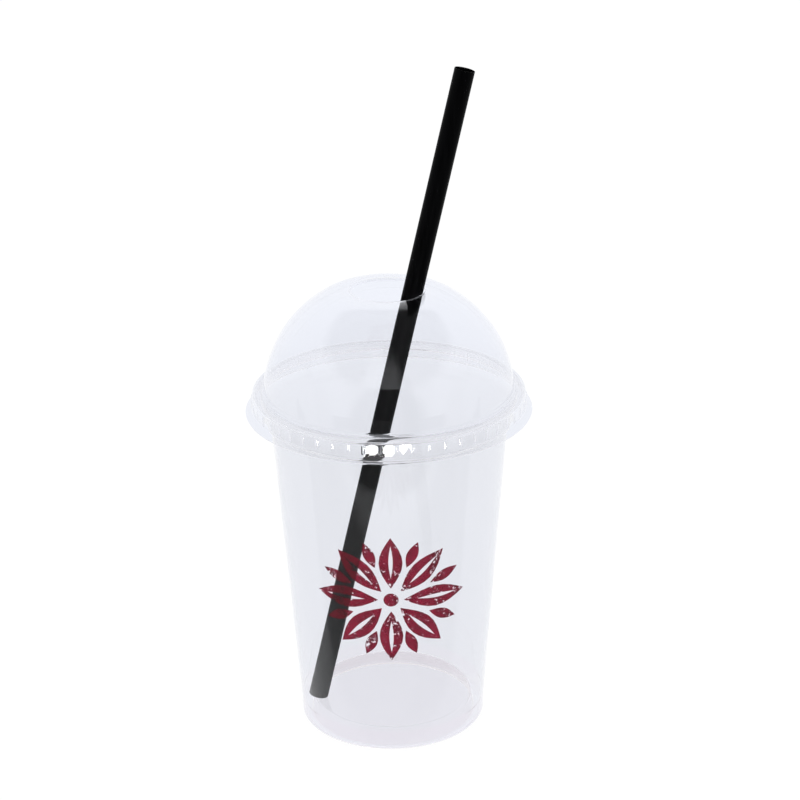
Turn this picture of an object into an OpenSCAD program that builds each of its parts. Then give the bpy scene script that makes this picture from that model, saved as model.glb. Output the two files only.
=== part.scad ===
// Clear drinks cup with a domed, ribbed snap-on lid and a leaning straw.
// Millimetres, +Z up. The origin is the centre of the foot ring, on the ground,
// and the printed side of the cup faces -Y.

/* [Cup] */
// Height of the cup to the top of its rolled rim
cup_h = 126.8; // [100:0.1:170]
// Diameter over the rolled rim; the wall, the floor and the lid keep their steps from it
rim_d = 95; // [88:0.5:110]
// Diameter of the rim's roll, seen in section
roll_d = 3.4; // [2.6:0.1:4.4]
// Gap between the end of the roll and the neck
roll_gap = 0.4; // [0.2:0.1:0.6]
// Thickness of the cup's sheet
cup_wall = 0.4; // [0.3:0.05:0.6]
// Lean of the neck between the stacking shoulder and the rim, measured on the radius
neck_lean = 1.2; // [0.5:0.1:2.5]
// Distance from the rim's top down to the foot of the stacking shoulder
shoulder_drop = 11.8; // [9:0.1:16]
// Width of the stacking shoulder
shoulder_step = 1.9; // [1:0.1:2.4]
// Taper of the wall from the shoulder down to the base band, measured on the radius
wall_taper = 8.05; // [5:0.05:11]
// Height of the base band
base_h = 7.15; // [6:0.05:12]
// Step from the base band out to the tapered wall
base_step = 0.15; // [0.1:0.05:0.4]
// Lean of the base band, measured on the radius
base_lean = 0.1; // [0.05:0.05:0.5]
// Radius of the heel
heel_r = 1.2; // [0.8:0.1:2.4]
// Distance from the heel's outer face in to the foot ring's inner edge
foot_w = 2.95; // [2:0.05:5]
// Lean of the foot ring's inner wall up to the floor, measured on the radius
floor_lean = 1.4; // [0.5:0.1:4]
// Height of the raised floor's upper face
floor_h = 7.05; // [5:0.05:12]

/* [Lid] */
// Thickness of the lid's sheet
lid_wall = 0.35; // [0.25:0.05:0.5]
// Clearance between the skirt and the rim, all round
skirt_gap = 0.2; // [0.15:0.05:0.5]
// Clearance between the ring's underside and the rim's top
seat_gap = 0.25; // [0.1:0.05:0.5]
// Height of the skirt's upright, ribbed band
band_h = 7; // [5:0.05:9]
// Height of the flare under the band
flare_h = 1; // [0.8:0.1:4]
// Width of the flare, outwards from the band
flare_w = 2.3; // [1:0.1:4]
// Number of ribs round the band
ribs = 54; // [36:1:72]
// Radius of a rib's section
rib_r = 0.9; // [0.7:0.05:1.2]
// How far a rib stands out of the band
rib_out = 0.35; // [0.3:0.05:0.7]
// Width of the flat ring between the band and the dome
ring_w = 4; // [3.4:0.1:6]
// Lean of the dome's foot from upright, in degrees
dome_draft = 5.5; // [2:0.5:10]
// Height of the dome above the ring
dome_h = 35.2; // [28:0.1:46]
// Width of the flat crown round the straw hole, out to where it turns down into the dome
crown_w = 6.5; // [5:0.1:10]
// Slope of the dome just outside the crown, in degrees
crown_slope = 30.4; // [24:0.1:34]
// Diameter of the straw hole
hole_d = 25.6; // [20:0.1:30]
// Depth of the lip turned down round the hole
lip_h = 0.8; // [0.5:0.1:1.5]

/* [Straw] */
// Outer diameter of the straw
straw_d = 7; // [5:0.1:8]
// Wall of the straw
straw_wall = 0.25; // [0.15:0.05:0.4]
// Length of the straw
straw_l = 237; // [210:1:260]
// Distance of the straw's foot, on its axis, in from the floor's edge
straw_inset = 0.8; // [0.6:0.1:10]
// Direction of the straw's foot from the cup's axis, in degrees
straw_foot_turn = 193; // [0:1:360]
// Direction in which the straw leans on the hole's edge, in degrees
straw_rest_turn = -5; // [-60:1:60]
// Clearance between the straw and what it rests on
straw_gap = 0.15; // [0.1:0.05:0.5]

/* [Print] */
// Width of the printed rosette, measured round the wall
print_w = 54.5; // [30:0.5:60]
// Height of the printed rosette
print_h = 49; // [30:0.5:54]
// Height of the rosette's centre above the ground
print_z = 62.2; // [50:0.1:70]
// Number of large leaves
leaves = 8; // [6:1:10]
// Width of a large leaf
leaf_w = 8.2; // [4:0.1:10]
// Width of the bare vein in a large leaf
vein_w = 1.5; // [0.8:0.1:2]
// Width of a small leaf between two large ones
bud_w = 4; // [2:0.1:5]
// Radius of the rosette's centre spot
spot_r = 2.6; // [1.5:0.1:3]
// Bare gap round the centre spot
spot_gap = 2; // [1:0.1:3]
// Thickness of the ink
ink = 0.08; // [0.05:0.01:0.2]

/* [Hidden] */
$fn = 64;

// Faces of a full turn, and of a rib's full turn
round_fn = 180;
rib_fn = 24;
// Largest turn between two points of a small bend, and of the dome's long curves, in degrees
bend_step = 15;
curve_step = 3;

// Cup, outer face
rim_r = rim_d / 2;
neck_r = rim_r - roll_d + cup_wall;
shoulder_z = cup_h - shoulder_drop;
wall_top_r = neck_r - neck_lean - shoulder_step;
wall_base_r = wall_top_r - wall_taper;
base_r = wall_base_r - base_step;
foot_r = base_r - base_lean;
ring_r = foot_r - foot_w;
floor_r = ring_r - floor_lean;
roll_in = roll_d - 2 * cup_wall;
roll_flat = 0.1;
roll_bend = (roll_in - roll_flat) / 2;
soft_bend = 1;

// Lid, outer face
ring_z = cup_h + seat_gap + lid_wall;
band_r = rim_r + skirt_gap + lid_wall;
flare_top_z = ring_z - band_h;
flange_z = flare_top_z - flare_h;
flange_r = band_r + flare_w;
dome_r = band_r - ring_w;
dome_top = ring_z + dome_h;
hole_r = hole_d / 2;
crown_r = hole_r + crown_w;
// The ring's outer bend follows the roll of the rim under it
ring_bend = roll_bend + cup_wall + skirt_gap + lid_wall;
dome_foot_bend = 0.6;
lip_bend = 0.6;

// The dome is two curves that meet where the slope outside the crown ends:
// its foot line, leaning in by the draft, and its crown line, falling at the slope, cross here
dome_foot = [dome_r, ring_z];
crown_edge = [crown_r, dome_top];
dome_lean = [-sin(dome_draft), cos(dome_draft)];
crown_fall = [cos(crown_slope), -sin(crown_slope)];
dome_corner = crossing(dome_foot, dome_lean, crown_edge, crown_fall);
// The side curve starts just above the bend at the dome's foot and takes at most this share
// of the crown line; the crown's curve takes the rest, less a short straight between the two
side_share = 0.85;
curve_gap = 0.2;
crown_line = norm(dome_corner - crown_edge);
side_reach = min(norm(dome_corner - dome_foot) - dome_foot_bend, side_share * crown_line);
crown_reach = crown_line - side_reach - curve_gap;
crown_flat = 0.4;
side_turn = 90 - crown_slope - dome_draft;
side_bend = side_reach / tan(side_turn / 2);
crown_bend = min(crown_reach, crown_w - lip_bend - crown_flat) / tan(crown_slope / 2);

// Ribs: they start a little above the flare, and their tips run into the ring's outer bend
rib_in = rib_r - rib_out;
rib_tip = 0.8;
rib_rise = 0.7;
rib_run = 0.5;
rib_low = flare_top_z + rib_rise;
rib_high = ring_z - ring_bend + rib_run;

// Straw: its axis runs from the foot on the floor through the rest point in the hole
straw_r = straw_d / 2;
straw_foot_xy = (floor_r - straw_inset) * [cos(straw_foot_turn), sin(straw_foot_turn)];
straw_rest_r = hole_r - straw_r - straw_gap;
straw_rest_xy = straw_rest_r * [cos(straw_rest_turn), sin(straw_rest_turn)];
straw_run = straw_rest_xy - straw_foot_xy;
straw_tilt = atan2(norm(straw_run), dome_top - floor_h);
straw_turn = atan2(straw_run.y, straw_run.x);
straw_foot_z = floor_h + straw_gap + straw_r * sin(straw_tilt);

// Print
leaf_steps = 8;
print_r = wall_r(print_z);
leaf_start = spot_r + spot_gap;
bud_span = [0.55, 0.97];
vein_span = [0.2, 0.84];

// Outer radius of the tapered wall at a height
function wall_r(z) =
    wall_base_r + wall_taper * (z - base_h) / (shoulder_z - base_h);

function unit(v) = v / norm(v);
function left_of(v) = [-v.y, v.x];

// Where the line through a along u crosses the line through b along v
function crossing(a, u, b, v) =
    a + u * ((b.x - a.x) * v.y - (b.y - a.y) * v.x) / (u.x * v.y - u.y * v.x);

// The corner at b, between a and c, bent to radius r
function corner(a, b, c, r) =
    let (
        u = unit(a - b),
        v = unit(c - b),
        half = acos(u * v) / 2,
        centre = b + unit(u + v) * r / sin(half),
        from = b + u * r / tan(half) - centre,
        turn = (u.x * v.y - u.y * v.x > 0 ? -1 : 1) * (180 - 2 * half),
        step = r > 10 ? curve_step : bend_step,
        n = max(2, ceil(abs(turn) / step))
    )
    [for (i = [0 : n]) let (t = turn * i / n)
        centre + [from.x * cos(t) - from.y * sin(t), from.x * sin(t) + from.y * cos(t)]];

// A line through corners [radius, height, bend], each bent to its own radius
function bent(c) =
    [for (i = [0 : len(c) - 1])
        let (b = [c[i].x, c[i].y])
        each (i == 0 || i == len(c) - 1 || c[i].z == 0
            ? [b]
            : corner([c[i - 1].x, c[i - 1].y], b, [c[i + 1].x, c[i + 1].y], c[i].z))];

// A line moved to its left by t
function beside(p, t) =
    [for (i = [0 : len(p) - 1])
        let (
            before = left_of(unit(p[max(i, 1)] - p[max(i, 1) - 1])),
            after = left_of(unit(p[min(i + 1, len(p) - 1)] - p[min(i, len(p) - 2)]))
        )
        p[i] + t * (before + after) / (1 + before * after)];

// A sheet of thickness t, formed to a line and turned round the axis
module formed(corners, t) {
    face = bent(corners);
    back = beside(face, t);
    rotate_extrude($fn = round_fn)
        polygon(concat(face, [for (i = [len(back) - 1 : -1 : 0]) back[i]]));
}

// Raised floor, foot ring, base band, tapered wall, stacking shoulder and rolled rim
module cup() {
    color([0.89, 0.9, 0.94, 0.35])
        formed([
            [0, floor_h - cup_wall, 0],
            [floor_r, floor_h - cup_wall, soft_bend],
            [ring_r, 0, 2 * cup_wall],
            [foot_r, 0, heel_r],
            [base_r, base_h - base_step, 0],
            [wall_base_r, base_h, 0],
            [wall_top_r, shoulder_z, soft_bend],
            [wall_top_r + shoulder_step, shoulder_z + shoulder_step, soft_bend],
            [neck_r, cup_h - cup_wall, roll_bend],
            [neck_r + roll_in, cup_h - cup_wall, roll_bend],
            [neck_r + roll_in, cup_h - roll_d + cup_wall, roll_bend],
            [neck_r + roll_gap, cup_h - roll_d + cup_wall, 0]
        ], cup_wall);
}

// The upright ribs round the band, each a half-round with a pointed top, moved outwards by d
module rib_row(d) {
    for (i = [0 : ribs - 1])
        rotate([0, 0, i * 360 / ribs])
            translate([band_r - rib_in, 0, 0])
                rotate_extrude($fn = rib_fn)
                    polygon([
                        [0, rib_low - d],
                        [rib_r + d, rib_low - d],
                        [rib_r + d, rib_high - rib_tip + d],
                        [0, rib_high + d]
                    ]);
}

// The part of the ribs that stands out of the band's sheet
module rib_folds() {
    difference() {
        rib_row(0);
        translate([0, 0, flange_z])
            cylinder(h = ring_z - flange_z, r = band_r - lid_wall / 2);
    }
}

// Flare, ribbed band, ring, dome and straw hole; each rib is a fold of the same sheet, hollow inside
module dome_lid() {
    color([0.91, 0.92, 0.96, 0.35])
        difference() {
            union() {
                formed([
                    [flange_r, flange_z, 0],
                    [band_r, flare_top_z, soft_bend],
                    [band_r, ring_z, ring_bend],
                    [dome_r, ring_z, dome_foot_bend],
                    [dome_corner.x, dome_corner.y, side_bend],
                    [crown_edge.x, crown_edge.y, crown_bend],
                    [hole_r, dome_top, lip_bend],
                    [hole_r, dome_top - lip_h, 0]
                ], lid_wall);
                rib_folds();
            }
            rib_row(-lid_wall);
        }
}

module straw() {
    color([0.06, 0.06, 0.07])
        translate([straw_foot_xy.x, straw_foot_xy.y, straw_foot_z])
            rotate([0, straw_tilt, straw_turn])
                difference() {
                    cylinder(h = straw_l, r = straw_r);
                    translate([0, 0, -1])
                        cylinder(h = straw_l + 2, r = straw_r - straw_wall);
                }
}

// Distance from the rosette's centre to its outline, in a direction
function print_edge(a) =
    1 / norm([2 * cos(a) / print_w, 2 * sin(a) / print_h]);

// A leaf along X from one distance to another, on the rosette's centre
module leaf(from, to, width) {
    edge = [for (i = [0 : leaf_steps]) let (k = i / leaf_steps)
        [from + (to - from) * k, width / 2 * sin(180 * k)]];
    polygon(concat(edge, [for (i = [leaf_steps - 1 : -1 : 1]) [edge[i].x, -edge[i].y]]));
}

// Carries a flat mark out through the wall; the mark's own middle faces the place it is pressed on
module pressed(middle) {
    rotate([0, 0, middle.x / print_r * 180 / PI - 90])
        translate([0, 0, print_z])
            rotate([90, 0, 90])
                linear_extrude(height = rim_r)
                    translate([-middle.x, 0])
                        children();
}

// A rosette of veined leaves, with small leaves between them and a spot in the middle
module print() {
    color([0.55, 0.05, 0.12])
        intersection() {
            rotate_extrude($fn = round_fn)
                polygon([
                    [wall_r(base_h), base_h],
                    [wall_r(base_h) + ink, base_h],
                    [wall_r(shoulder_z) + ink, shoulder_z],
                    [wall_r(shoulder_z), shoulder_z]
                ]);
            union() {
                pressed([0, 0])
                    circle(spot_r);
                for (i = [0 : leaves - 1])
                    let (
                        a = i * 360 / leaves,
                        b = a + 180 / leaves,
                        edge = print_edge(a),
                        gap = print_edge(b),
                        vein = [for (k = vein_span) leaf_start + (edge - leaf_start) * k]
                    ) {
                        pressed((leaf_start + edge) / 2 * [cos(a), sin(a)])
                            rotate(a)
                                difference() {
                                    leaf(leaf_start, edge, leaf_w);
                                    leaf(vein[0], vein[1], vein_w);
                                }
                        pressed(gap * (bud_span[0] + bud_span[1]) / 2 * [cos(b), sin(b)])
                            rotate(b)
                                leaf(gap * bud_span[0], gap * bud_span[1], bud_w);
                    }
            }
        }
}

cup();
dome_lid();
straw();
print();
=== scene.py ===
"""Clear drinks cup with a domed, ribbed lid, a leaning black straw and a red printed rosette.

The cup, the lid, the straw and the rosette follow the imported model's own sizes and places.
"""
import math

import bmesh
import bpy
import numpy as np
from mathutils import Matrix, Vector


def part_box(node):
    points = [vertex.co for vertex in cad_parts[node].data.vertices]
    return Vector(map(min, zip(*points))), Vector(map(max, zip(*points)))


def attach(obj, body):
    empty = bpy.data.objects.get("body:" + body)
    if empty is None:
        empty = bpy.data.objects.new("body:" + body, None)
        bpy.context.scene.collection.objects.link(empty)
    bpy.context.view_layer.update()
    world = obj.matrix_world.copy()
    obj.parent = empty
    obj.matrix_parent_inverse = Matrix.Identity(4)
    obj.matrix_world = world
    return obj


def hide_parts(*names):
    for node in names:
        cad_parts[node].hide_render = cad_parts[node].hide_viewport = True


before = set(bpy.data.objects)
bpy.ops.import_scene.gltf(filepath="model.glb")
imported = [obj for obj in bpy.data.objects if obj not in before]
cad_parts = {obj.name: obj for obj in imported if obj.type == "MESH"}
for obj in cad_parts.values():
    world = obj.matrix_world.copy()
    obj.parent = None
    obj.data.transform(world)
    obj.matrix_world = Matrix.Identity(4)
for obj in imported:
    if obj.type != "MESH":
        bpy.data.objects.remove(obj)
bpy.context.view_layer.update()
cup_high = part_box("cup")[1]
lid_low, lid_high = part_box("dome_lid")

MM = 0.001
ORIGIN = Vector((0, 0, 0))
UP = Vector((0, 0, 1))

# Cup, outer face, in millimetres
CUP_H = cup_high.z / MM
RIM_R = cup_high.x / MM
ROLL_D = 3.4
ROLL_GAP = 0.4  # between the end of the roll and the neck
ROLL_FLAT = 0.05  # left straight between two bends of the roll
CUP_WALL = 0.4
NECK_LEAN = 1.2
SHOULDER_DROP = 11.8  # from the rim's top down to the foot of the stacking shoulder
SHOULDER_STEP = 1.9
WALL_TAPER = 8.05
BASE_H = 7.15
BASE_STEP = 0.15
BASE_LEAN = 0.1
HEEL_BEND = 1.2
FOOT_W = 2.95  # from the heel in to the foot ring's inner edge
FLOOR_LEAN = 1.4
FLOOR_H = 7.05
SOFT_BEND = 1.0

# Lid, outer face, in millimetres
LID_WALL = 0.35
FLANGE_Z = lid_low.z / MM
FLANGE_R = lid_high.x / MM
DOME_TOP = lid_high.z / MM
FLARE_H = 1.0
FLARE_W = 2.3
FLARE_BEND = 0.9
BAND_H = 7.0
RING_W = 4.0
RING_BEND = 2.2
DOME_FOOT_BEND = 0.6
DOME_DRAFT = math.radians(5.5)
CROWN_W = 6.5
CROWN_SLOPE = math.radians(30.4)
CROWN_FLAT = 0.4
SIDE_SHARE = 0.85  # how much of the dome's slope its side bend may take
CURVE_GAP = 0.2  # between the dome's two curves
HOLE_R = 12.8
LIP_BEND = 0.6
LIP_H = 0.8

# Ribs round the lid's band, in millimetres
RIBS = 54
RIB_W = 1.7
RIB_OUT = 0.35
RIB_RISE = 0.7  # from the flare's top up to a rib's foot
RIB_END = 0.9  # height over which a rib's end fades

# Straw and ink, in millimetres
STRAW_R = 3.5
STRAW_WALL = 0.25
STRAW_SOFT = 0.08
INK_LIFT = 0.02  # keeps the ink's inner face off the wall

# How fine the shapes are
CUP_TURN = math.radians(5)  # largest turn of a segment in a wide bend
LID_TURN = math.radians(3.75)
WIDE_BEND = 10  # millimetres of radius
CUP_STEPS = 180
RIB_STEPS = 12
STRAW_STEPS = 96
SHARP_TURN = math.radians(50)
MERGE = 1e-7  # metres between two corners that become one
INK_MERGE = 1e-6

# The clear sheet's tint and the room's colours
TINT_SPAN = 200  # millimetres of height over which the tint's stops lie
CAUGHT = 11  # turns after which light counts as caught in the sheet
LOST = 6  # turns after which light meets a plain white room
WHITE = (1, 1, 1, 1)
PALE = (0.87, 0.895, 0.965, 1)
DIM = (0.12, 0.12, 0.12, 1)


class Val:
    """A shader socket that can be used in sums."""

    def __init__(self, tree, socket):
        self.tree = tree
        self.socket = socket

    def _sum(self, operation, a, b):
        node = self.tree.nodes.new("ShaderNodeMath")
        node.operation = operation
        for slot, value in zip(node.inputs, (a, b)):
            if isinstance(value, Val):
                self.tree.links.new(value.socket, slot)
            else:
                slot.default_value = value
        return Val(self.tree, node.outputs[0])

    def __add__(self, other):
        return self._sum("ADD", self, other)

    def __sub__(self, other):
        return self._sum("SUBTRACT", self, other)

    def __mul__(self, other):
        return self._sum("MULTIPLY", self, other)

    def __pow__(self, other):
        return self._sum("POWER", self, other)

    __radd__ = __add__
    __rmul__ = __mul__


class Finish:
    """One node material: a node is made from its type, its settings and what feeds its sockets."""

    def __init__(self, name, owner=None):
        if owner is None:
            owner = bpy.data.materials.new(name)
        owner.use_nodes = True
        self.owner = owner
        self.tree = owner.node_tree
        self.tree.nodes.clear()

    def node(self, kind, settings=None, **sockets):
        """A node with its settings. Each other keyword names an input, with a number or what feeds it."""
        node = self.tree.nodes.new("ShaderNode" + kind)
        for key, value in (settings or {}).items():
            setattr(node, key, value)
        for key, value in sockets.items():
            slot = self.slot(node, key)
            if isinstance(value, Val):
                self.tree.links.new(value.socket, slot)
            else:
                slot.default_value = value
        return node

    def slot(self, node, key):
        """The input a keyword names: s0, s1 are places in the list, and words are the socket's name."""
        if key[0] == "s" and key[1:].isdigit():
            return node.inputs[int(key[1:])]
        return node.inputs[key.replace("_", " ")]

    def val(self, kind, settings=None, out=0, **sockets):
        """One output of a new node."""
        return Val(self.tree, self.node(kind, settings, **sockets).outputs[out])

    def axes(self, vector):
        """The x, y and z of a vector."""
        return [Val(self.tree, part) for part in self.node("SeparateXYZ", Vector=vector).outputs]

    def ramp(self, factor, *stops):
        """A colour ramp over factor, through stops (place, grey or colour)."""
        node = self.node("ValToRGB", s0=factor)
        band = node.color_ramp.elements
        while len(band) < len(stops):
            band.new(1)
        for element, (place, value) in zip(band, stops):
            element.position = place
            colour = value if hasattr(value, "__len__") else (value, value, value)
            element.color = (*colour, 1)
        return Val(self.tree, node.outputs[0])

    def blend(self, factor, a, b):
        """A mix of two colours: a where factor is 0, b where it is 1."""
        return self.val("Mix", {"data_type": "RGBA"}, out=2, s0=factor, s6=a, s7=b)

    def times(self, a, b):
        """One colour times another, or times a grey value."""
        return self.val("Mix", {"data_type": "RGBA", "blend_type": "MULTIPLY"}, out=2, s0=1.0, s6=a, s7=b)

    def done(self, shader, kind="OutputMaterial"):
        """Ends the tree in a shader, and gives the material or world."""
        self.tree.links.new(shader.socket, self.tree.nodes.new("ShaderNode" + kind).inputs["Surface"])
        return self.owner


# The shapes


def bend_arc(before, here, after, bend):
    """The bend at a corner: where it starts, its centre and its turn about -Y."""
    back = (before - here).normalized()
    on = (after - here).normalized()
    half = back.angle(on) / 2
    start = here + back * bend / math.tan(half)
    centre = here + (back + on).normalized() * bend / math.sin(half)
    turn = (math.pi - 2 * half) * math.copysign(1, back.x * on.z - back.z * on.x)
    return start, centre, turn


def bent_line(corners, finest):
    """A wire through corners (radius, height, bend) in millimetres.

    finest is the largest turn of a segment in a wide bend. In a narrow bend it is three times that, but a
    bend has at least three segments.
    """
    mesh = bmesh.new()
    spots = [Vector((r, 0, z)) * MM for r, z, _ in corners]
    end = mesh.verts.new(spots[0])
    for i in range(1, len(corners)):
        bend = corners[i][2]
        if i == len(corners) - 1 or not bend:
            start, centre, turn = spots[i], None, 0
        else:
            start, centre, turn = bend_arc(*spots[i - 1:i + 2], bend * MM)
        point = mesh.verts.new(start)
        mesh.edges.new((end, point))
        end = point
        if turn:
            segment = finest if bend > WIDE_BEND else 3 * finest
            steps = max(3, math.ceil(abs(turn) / segment))
            arc = bmesh.ops.spin(mesh, geom=[point], cent=centre, axis=(0, 1, 0), angle=turn, steps=steps)
            end = next(v for v in arc["geom_last"] if isinstance(v, bmesh.types.BMVert))
    return mesh


def turn_round(mesh, steps):
    """Turns a wire once round the upright axis."""
    bmesh.ops.spin(mesh, geom=mesh.verts[:] + mesh.edges[:], cent=ORIGIN, axis=UP,
                   angle=math.tau, steps=steps, use_merge=True)


def to_piece(mesh, name, material, wall=0.0):
    """An object of the mesh, smooth, with a wall of that thickness inside its outer face."""
    bmesh.ops.remove_doubles(mesh, verts=mesh.verts, dist=MERGE)
    bmesh.ops.recalc_face_normals(mesh, faces=mesh.faces)
    for face in mesh.faces:
        face.smooth = True
    data = bpy.data.meshes.new(name)
    mesh.to_mesh(data)
    mesh.free()
    data.materials.append(material)
    piece = bpy.data.objects.new(name, data)
    bpy.context.scene.collection.objects.link(piece)
    if wall:
        solid = piece.modifiers.new("wall", "SOLIDIFY")
        solid.thickness = wall
        solid.offset = -1
        solid.use_even_offset = True
        made = piece.evaluated_get(bpy.context.evaluated_depsgraph_get())
        piece.data = bpy.data.meshes.new_from_object(made)
        piece.modifiers.clear()
    piece.data.set_sharp_from_angle(angle=SHARP_TURN)
    lay = piece.modifiers.new("even shading", "WEIGHTED_NORMAL")
    lay.keep_sharp = True
    return piece


def make_cup(material):
    """Raised floor, foot ring, base band, tapered wall, stacking shoulder and rolled rim."""
    neck_r = RIM_R - ROLL_D + CUP_WALL
    shoulder_z = CUP_H - SHOULDER_DROP
    wall_top_r = neck_r - NECK_LEAN - SHOULDER_STEP
    wall_base_r = wall_top_r - WALL_TAPER
    foot_r = wall_base_r - BASE_STEP - BASE_LEAN
    ring_r = foot_r - FOOT_W
    # The outer face of the neck goes on as the inner side of the roll
    roll_r = RIM_R - CUP_WALL
    roll_top = CUP_H - CUP_WALL
    roll_foot = CUP_H - ROLL_D + CUP_WALL
    roll_bend = ROLL_D / 2 - ROLL_FLAT - CUP_WALL
    mesh = bent_line([
        (0, FLOOR_H - CUP_WALL, 0),
        (ring_r - FLOOR_LEAN, FLOOR_H - CUP_WALL, SOFT_BEND),
        (ring_r, 0, 2 * CUP_WALL),
        (foot_r, 0, HEEL_BEND),
        (wall_base_r - BASE_STEP, BASE_H - BASE_STEP, 0),
        (wall_base_r, BASE_H, 0),
        (wall_top_r, shoulder_z, SOFT_BEND),
        (wall_top_r + SHOULDER_STEP, shoulder_z + SHOULDER_STEP, SOFT_BEND),
        (neck_r, roll_top, roll_bend),
        (roll_r, roll_top, roll_bend),
        (roll_r, roll_foot, roll_bend),
        (neck_r + ROLL_GAP, roll_foot, 0),
    ], CUP_TURN)
    turn_round(mesh, CUP_STEPS)
    piece = to_piece(mesh, "clear_cup_shell", material, CUP_WALL * MM)
    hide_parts("cup")
    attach(piece, "cup")
    return piece


def crossing(a, u, b, v):
    """Where the line through a along u crosses the line through b along v, in the section."""
    return a + u * ((b.x - a.x) * v.y - (b.y - a.y) * v.x) / (u.x * v.y - u.y * v.x)


def dome_corners(dome_r, ring_z):
    """The dome's two curves, from the ring's inner corner to the lip."""
    foot = Vector((dome_r, ring_z))
    crown = Vector((HOLE_R + CROWN_W, DOME_TOP))
    lean = Vector((-math.sin(DOME_DRAFT), math.cos(DOME_DRAFT)))
    fall = Vector((math.cos(CROWN_SLOPE), -math.sin(CROWN_SLOPE)))
    corner = crossing(foot, lean, crown, fall)
    line = (corner - crown).length
    side = min((corner - foot).length - DOME_FOOT_BEND, SIDE_SHARE * line)
    side_bend = side / math.tan((math.pi / 2 - CROWN_SLOPE - DOME_DRAFT) / 2)
    crown_bend = min(line - side - CURVE_GAP, CROWN_W - LIP_BEND - CROWN_FLAT) / math.tan(CROWN_SLOPE / 2)
    return [
        (foot.x, foot.y, DOME_FOOT_BEND),
        (corner.x, corner.y, side_bend),
        (crown.x, crown.y, crown_bend),
        (HOLE_R, DOME_TOP, LIP_BEND),
        (HOLE_R, DOME_TOP - LIP_H, 0),
    ]


def swell(share):
    """A soft rise: 1 where share is 0, down to 0 where it is 1."""
    return 0.5 + 0.5 * math.cos(math.pi * min(1, share))


def make_lid(material):
    """Flare, ribbed band, ring, dome and straw hole. One rib's width is made, then repeated round."""
    flare_top = FLANGE_Z + FLARE_H
    ring_z = flare_top + BAND_H
    band_r = FLANGE_R - FLARE_W
    rib_low = flare_top + RIB_RISE
    rib_high = ring_z - RING_BEND
    ends = [RIB_END * share for share in (0, 0.25, 0.5, 0.75, 1)]
    rib_heights = [rib_low + end for end in ends] + [rib_high - end for end in reversed(ends[1:])]
    mesh = bent_line([
        (FLANGE_R, FLANGE_Z, 0),
        (band_r, flare_top, FLARE_BEND),
        *[(band_r, height, 0) for height in rib_heights],
        (band_r, ring_z, RING_BEND),
        *dome_corners(band_r - RING_W, ring_z),
    ], LID_TURN)
    pitch = math.tau / RIBS
    bmesh.ops.spin(mesh, geom=mesh.verts[:] + mesh.edges[:], cent=ORIGIN, axis=UP,
                   angle=pitch, steps=RIB_STEPS)
    # Two thirds of the steps go to the rib itself, and the upright band swells out along it
    rib_half = RIB_W / 2 / band_r
    on_band = 0.01
    for vert in mesh.verts:
        radius = vert.co.xy.length / MM
        height = vert.co.z / MM
        share = math.atan2(vert.co.y, vert.co.x) / pitch * 2 - 1
        turn = float(np.interp(abs(share), (0, 2 / 3, 1), (0, rib_half, pitch / 2)))
        if abs(radius - band_r) < on_band and rib_low < height < rib_high:
            end = min(1, (height - rib_low) / RIB_END, (rib_high - height) / RIB_END)
            radius += RIB_OUT * swell(turn / rib_half) * swell(1 - end)
        turn = math.copysign(turn, share)
        vert.co.xy = Vector((math.cos(turn), math.sin(turn))) * radius * MM
    bmesh.ops.spin(mesh, geom=mesh.faces[:] + mesh.edges[:] + mesh.verts[:], cent=ORIGIN, axis=UP,
                   angle=math.tau - pitch, steps=RIBS - 1, use_duplicate=True)
    piece = to_piece(mesh, "clear_dome_lid", material, LID_WALL * MM)
    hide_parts("dome_lid")
    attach(piece, "lid")
    return piece


def straw_ends():
    """Foot and top of the straw's axis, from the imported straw."""
    points = np.array([v.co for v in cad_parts["straw"].data.vertices])
    middle = (points.min(0) + points.max(0)) / 2
    way = np.linalg.svd(points - middle, full_matrices=False)[2][0]
    way *= np.sign(way[2])
    along = (points - middle) @ way
    reach = 0.01 * MM
    rings = [points[along < along.min() + reach], points[along > along.max() - reach]]
    return [Vector((ring.min(0) + ring.max(0)) / 2) for ring in rings]


def make_straw(material):
    """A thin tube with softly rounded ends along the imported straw's axis."""
    foot, top = straw_ends()
    length = (top - foot).length / MM
    bore_r = STRAW_R - STRAW_WALL
    mesh = bmesh.new()
    section = [(bore_r, 0), (STRAW_R, 0), (STRAW_R, length), (bore_r, length)]
    ring = [mesh.verts.new(Vector((r, 0, z)) * MM) for r, z in section]
    for a, b in zip(ring, ring[1:] + ring[:1]):
        mesh.edges.new((a, b))
    bmesh.ops.bevel(mesh, geom=ring, offset=STRAW_SOFT * MM, offset_type="OFFSET", segments=3, profile=0.5,
                    affect="VERTICES", material=-1)
    turn_round(mesh, STRAW_STEPS)
    turn = UP.rotation_difference(top - foot).to_matrix().to_4x4()
    bmesh.ops.transform(mesh, matrix=Matrix.Translation(foot) @ turn, verts=mesh.verts)
    piece = to_piece(mesh, "black_straw", material)
    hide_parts("straw")
    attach(piece, "lid")
    return piece


def make_rosette(material):
    """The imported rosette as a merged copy, lifted a hair off the wall so that they don't share a face."""
    mesh = bmesh.new()
    mesh.from_mesh(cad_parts["print"].data)
    bmesh.ops.remove_doubles(mesh, verts=mesh.verts, dist=INK_MERGE)
    for vert in mesh.verts:
        vert.co.xy *= 1 + INK_LIFT * MM / vert.co.xy.length
    piece = to_piece(mesh, "printed_rosette", material)
    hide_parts("print")
    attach(piece, "cup")
    return piece


# What kind of light ray meets a surface


def most(f, *values):
    """The largest of the values."""
    first, *rest = values
    for value in rest:
        first = f.val("Math", {"operation": "MAXIMUM"}, s0=first, s1=value)
    return first


def rays(f, *names):
    """1 for the kinds of ray named, 0 for the others."""
    outputs = f.node("LightPath").outputs
    return most(f, *[Val(f.tree, outputs[f"Is {name} Ray"]) for name in names])


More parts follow.
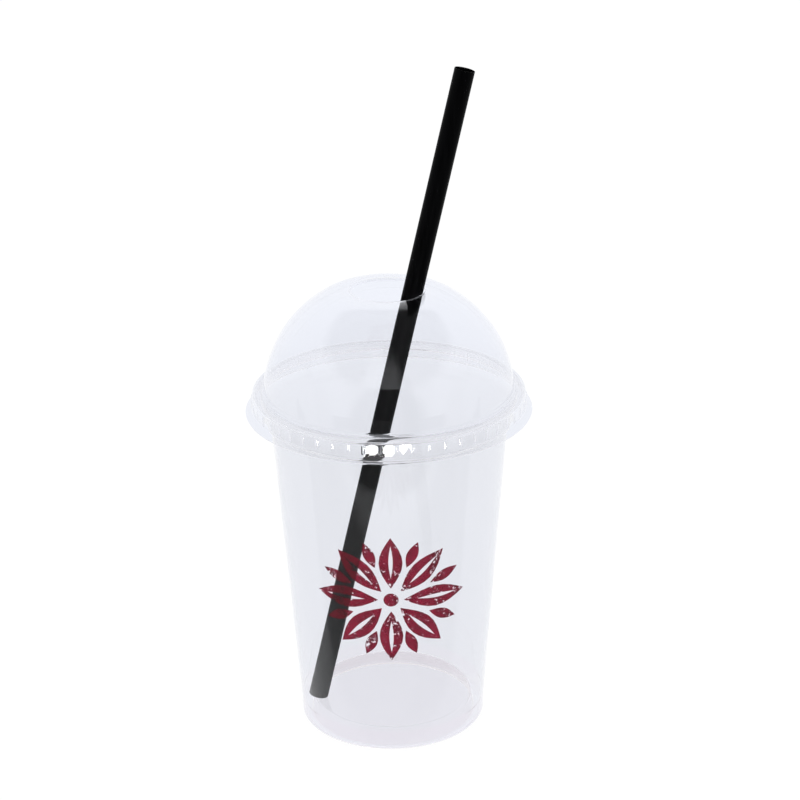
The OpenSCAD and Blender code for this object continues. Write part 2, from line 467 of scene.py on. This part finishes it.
def turned(f, times, count="Ray Depth"):
    """1 for light that has turned more often than that, by the Light Path's count, and 0 otherwise."""
    depth = f.val("LightPath", out=count)
    return f.val("Math", {"operation": "GREATER_THAN"}, s0=depth, s1=times + 0.5)


# The finishes


def clear_plastic(name, ior, face_on, edge_on, painted_shade_stops):
    """Clear thermoformed sheet: it bends and mirrors light, and is tinted more where it is seen edge on.

    The shade stops (height in millimetres, grey or colour) are a tint from foot to top, painted shade that
    darkens the sheet by height. Light that is caught between the sheet's faces goes straight on, and so do
    shadow rays.
    """
    f = Finish(name)
    place = f.val("TexCoord", out="Object")
    facing = f.val("LayerWeight", out="Facing", Blend=0.5)
    tint = f.blend(facing ** 5, (*face_on, 1), (*edge_on, 1))
    height = f.axes(place)[2]
    # Painted shade: these stops darken the sheet by height, towards the foot
    stops = [(z / TINT_SPAN, shade) for z, shade in painted_shade_stops]
    tint = f.times(tint, f.ramp(height * (1 / (TINT_SPAN * MM)), *stops))
    waves = f.val("TexNoise", Vector=place, Scale=55, Detail=2, Roughness=0.5)
    bump = f.val("Bump", Strength=0.06, Distance=0.002, Height=waves)
    glass = f.val("BsdfPrincipled", Base_Color=tint, Roughness=0.02, IOR=ior, Transmission_Weight=1.0,
                  Normal=bump)
    straight = most(f, rays(f, "Shadow"), turned(f, CAUGHT))
    through = f.val("BsdfTransparent", Color=(0.95, 0.95, 0.97, 1))
    return f.done(f.val("MixShader", s0=straight, s1=glass, s2=through))


def black_plastic():
    """Black extruded tube with faint lengthwise streaks."""
    f = Finish("straw_black")
    place = f.val("TexCoord", out="Object")
    stretched = f.val("Mapping", Vector=place, Scale=(900, 900, 12))
    streaks = f.val("TexNoise", Vector=stretched, Scale=1, Detail=3)
    colour = f.ramp(streaks, (0.3, (0.001, 0.001, 0.0012)), (0.7, (0.0022, 0.0022, 0.0025)))
    rough = f.ramp(streaks, (0.3, 0.32), (0.7, 0.45))
    bump = f.val("Bump", Strength=0.05, Distance=0.0002, Height=streaks)
    return f.done(f.val("BsdfPrincipled", Base_Color=colour, Roughness=rough, Specular_IOR_Level=0.02,
                        Normal=bump))


def red_ink():
    """Dark red printing ink, thin enough to let some light through, with fine worn specks and scuffs."""
    f = Finish("rosette_red")
    place = f.val("TexCoord", out="Object")
    patches = f.val("TexNoise", Vector=place, Scale=160, Detail=4, Roughness=0.6)
    specks = f.val("TexNoise", Vector=place, Scale=900, Detail=5, Roughness=0.7)
    thin = f.ramp(patches, (0.38, 0.0), (0.62, 1.0))
    colour = f.blend(thin, (0.11, 0.004, 0.012, 1), (0.24, 0.01, 0.03, 1))
    cover = f.ramp(0.65 * specks + 0.35 * patches, (0.415, 0.0), (0.45, 1.0))
    solid = f.val("BsdfPrincipled", Base_Color=colour, Roughness=0.5, Specular_IOR_Level=0.0)
    stain = f.val("BsdfTransparent", Color=(0.6, 0.14, 0.25, 1))
    film = f.val("MixShader", s0=f.ramp(thin, (0.0, 0.42), (1.0, 0.66)), s1=solid, s2=stain)
    bare = f.val("BsdfTransparent", Color=WHITE)
    return f.done(f.val("MixShader", s0=cover, s1=bare, s2=film))


# The room


def seen_colour(f, room):
    """White, but the room's own colours in mirrored light, and paler through the plastic."""
    seen = f.blend(turned(f, 0, "Glossy Depth"), WHITE, room)
    seen = f.blend(turned(f, LOST), seen, WHITE)
    return f.times(seen, f.blend(rays(f, "Transmission"), WHITE, PALE))


def seen_or_lit(f, seen, lit):
    """One shader for what the eye meets, also in and through the plastic, and one that lights the cup."""
    return f.val("MixShader", s0=rays(f, "Camera", "Glossy", "Transmission"), s1=lit, s2=seen)


def make_floor():
    """A plain white floor. In gloss it shows painted shade: grey close in front of the cup, and dark farther
    out in front.
    """
    mesh = bmesh.new()
    bmesh.ops.create_circle(mesh, cap_ends=True, segments=96, radius=6)
    data = bpy.data.meshes.new("floor")
    mesh.to_mesh(data)
    mesh.free()
    floor = bpy.data.objects.new("floor", data)
    bpy.context.scene.collection.objects.link(floor)
    f = Finish("floor_white")
    lit = f.val("BsdfDiffuse", Color=(0.85, 0.85, 0.86, 1))
    faint = f.val("BsdfDiffuse", Color=(0.13, 0.13, 0.13, 1))
    right, back, _ = f.axes(f.val("TexCoord", out="Object"))
    aside = f.val("Math", {"operation": "ABSOLUTE"}, s0=right)
    front = back * -1
    # Places are in metres. The painted dark stretch starts nearer at the sides, and it narrows to the cup as
    # a wedge
    far_painted_shade = f.ramp(front + 0.27 * aside, (0.205, 0.0), (0.216, 1.0))
    far_painted_shade = far_painted_shade * f.ramp(front - 0.8 * aside, (0.0, 0.0), (0.1, 1.0))
    # Painted shade, seen in gloss: the floor is grey close in front of the cup
    near_painted_shade = f.ramp(front, (0.035, 1.0), (0.045, 0.5), (0.15, 0.5), (0.17, 1.0))
    glow = f.val("Emission", Color=seen_colour(f, f.blend(far_painted_shade, near_painted_shade, DIM)), Strength=0.93)
    bright = f.val("AddShader", s0=glow, s1=faint)
    data.materials.append(f.done(seen_or_lit(f, bright, lit)))


def make_world():
    """A soft grey room for the light, which shows white.

    In gloss it has a dim ceiling, a dark opening in front and a soft glow above that.
    """
    world = bpy.data.worlds.new("studio")
    bpy.context.scene.world = world
    f = Finish("studio", world)
    right, back, up = f.axes(f.val("TexCoord", out="Generated"))
    front = back * -1
    opening = f.ramp(front, (0.8, 0.0), (0.88, 1.0)) * f.ramp(up, (0.46, 1.0), (0.5, 0.0))
    ceiling = f.ramp(up + 0.25 * front, (0.6, 1.0), (0.72, 0.2)) * f.ramp(up, (0.7, 1.0), (0.85, 0.62))
    glow = f.ramp(up, (0.46, 0.0), (0.49, 0.85), (0.72, 0.75), (0.94, 0.0))
    glow = glow * f.ramp(right + 0.65 * front, (0.0, 0.0), (0.15, 1.0))
    glow = glow * f.ramp(0.3 * front - right, (0.0, 0.0), (0.12, 1.0))
    seen = seen_colour(f, f.blend(opening, ceiling, DIM) + glow)
    white = f.val("Background", Color=seen, Strength=1.0)
    grey = f.val("Background", Color=(0.95, 0.97, 1, 1), Strength=0.7)
    f.done(seen_or_lit(f, white, grey), "OutputWorld")


def soft_lamp(name, azimuth, elevation, distance, size, radiance, aim=(0, 0, 0.1)):
    """A softbox at an angle round the cup, facing its aim; azimuth 0 is the printed side."""
    turn = math.radians(azimuth)
    rise = math.radians(elevation)
    lamp = bpy.data.lights.new(name, "AREA")
    lamp.shape = "RECTANGLE"
    lamp.size, lamp.size_y = size
    lamp.energy = radiance * math.pi * size[0] * size[1]
    holder = bpy.data.objects.new(name, lamp)
    bpy.context.scene.collection.objects.link(holder)
    away = Vector((math.sin(turn) * math.cos(rise), -math.cos(turn) * math.cos(rise), math.sin(rise)))
    holder.location = Vector(aim) + away * distance
    holder.rotation_euler = away.to_track_quat("Z", "Y").to_euler()
    holder.visible_camera = False
    holder.visible_transmission = False
    return holder


def make_camera():
    """The photograph's view: from how far and how high, through what lens and with what tilt."""
    aim = Vector((3.89, 0, 121.5)) * MM
    distance = 0.7507
    elevation = math.radians(21.81)
    roll = math.radians(-0.66)
    focal_px = 2136.7
    image_px = 800
    data = bpy.data.cameras.new("camera")
    data.sensor_width = 36
    data.lens = focal_px * data.sensor_width / image_px
    data.clip_start = 0.01
    camera = bpy.data.objects.new("camera", data)
    bpy.context.scene.collection.objects.link(camera)
    back = Vector((0, -math.cos(elevation), math.sin(elevation)))
    turn = back.to_track_quat("Z", "Y").to_matrix() @ Matrix.Rotation(roll, 3, "Z")
    camera.matrix_world = Matrix.LocRotScale(aim + back * distance, turn.to_quaternion(), None)
    bpy.context.scene.camera = camera


# Tint stops that paint shade by height: violet at the foot, a grey wall and a clear rim, then a dome that is
# clear from halfway up
cup_painted_shade = (
    (FLOOR_H + 0.2, (0.96, 0.942, 0.948)),
    (BASE_H + 1.5, 0.95),
    (CUP_H - 8, 0.95),
    (CUP_H - 4, 1.0),
)
lid_painted_shade = ((127, 0.955), (147, 1.0))

make_camera()
make_cup(clear_plastic("cup_clear", ior=1.35, face_on=(0.99, 0.986, 0.983), edge_on=(0.98, 0.98, 0.98),
                       painted_shade_stops=cup_painted_shade))
make_lid(clear_plastic("lid_clear", ior=1.4, face_on=(0.985, 0.985, 0.99), edge_on=(0.97, 0.97, 0.98),
                       painted_shade_stops=lid_painted_shade))
make_straw(black_plastic())
make_rosette(red_ink())
make_floor()
make_world()
front_lamp = soft_lamp("front softbox", azimuth=-10, elevation=45, distance=1.0, size=(0.7, 0.6),
                       radiance=0.8)
front_lamp.visible_glossy = False
soft_lamp("low strip", azimuth=-2, elevation=-23.3, distance=0.274, size=(0.2, 0.0105), radiance=42,
          aim=(0, -0.048, 0.123))

scene = bpy.context.scene
scene.view_settings.view_transform = "Standard"
scene.cycles.max_bounces = 24
scene.cycles.glossy_bounces = 12
scene.cycles.transmission_bounces = 24
